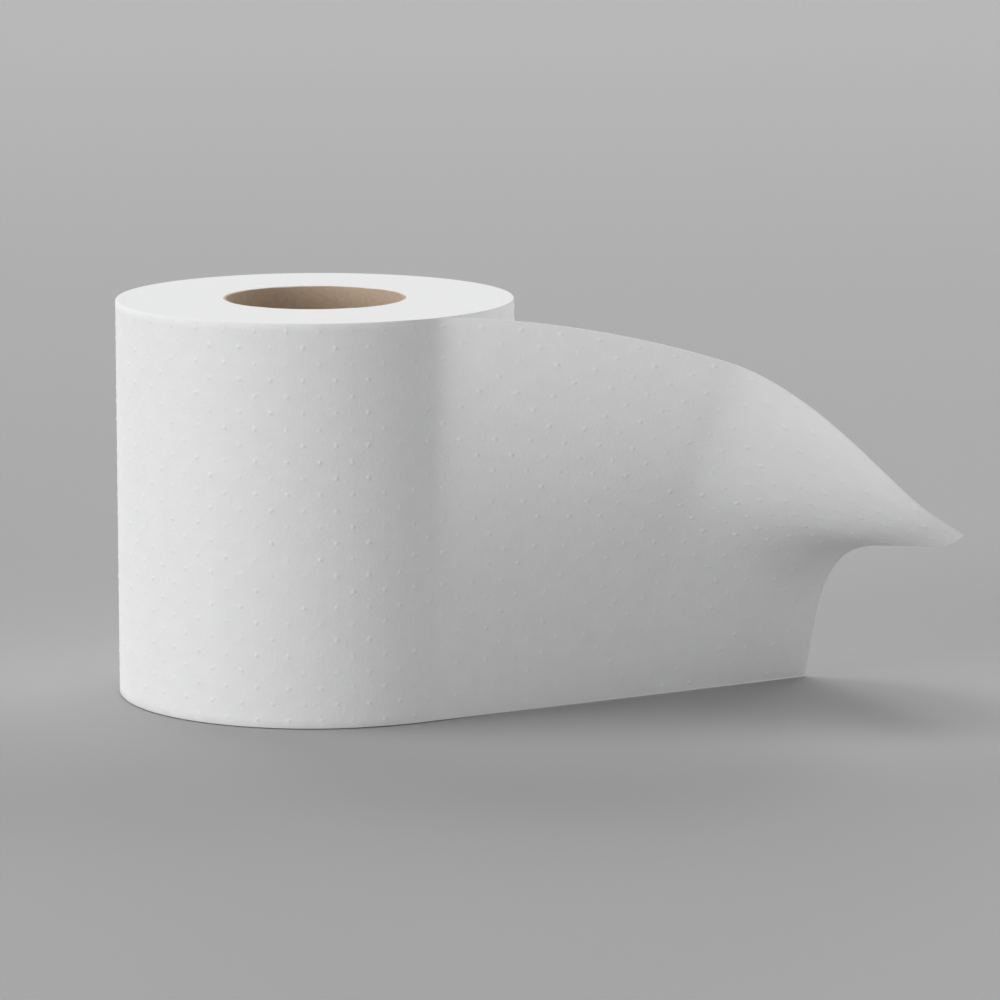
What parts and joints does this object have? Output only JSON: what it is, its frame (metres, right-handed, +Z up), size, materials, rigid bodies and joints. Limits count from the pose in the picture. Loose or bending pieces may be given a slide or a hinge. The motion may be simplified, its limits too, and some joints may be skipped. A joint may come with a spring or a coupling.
{
  "type": "toilet paper roll",
  "caption": "White embossed toilet paper roll on a cardboard core, standing on its end with a loose sheet trailing from its side.",
  "frame": {"origin": "on the roll's axis, in the plane of the end that it stands on", "axes": "+Z up along the roll's axis; the loose sheet leaves the roll's -Y side and runs off towards +X"},
  "size_m": [0.2092, 0.1052, 0.1],
  "materials": {
    "tissue": "matte",
    "core_board": "matte"
  },
  "bodies": {
    "root": {"cardboard_core": "core_board", "tissue_web": "tissue"}
  },
  "joints": []
}
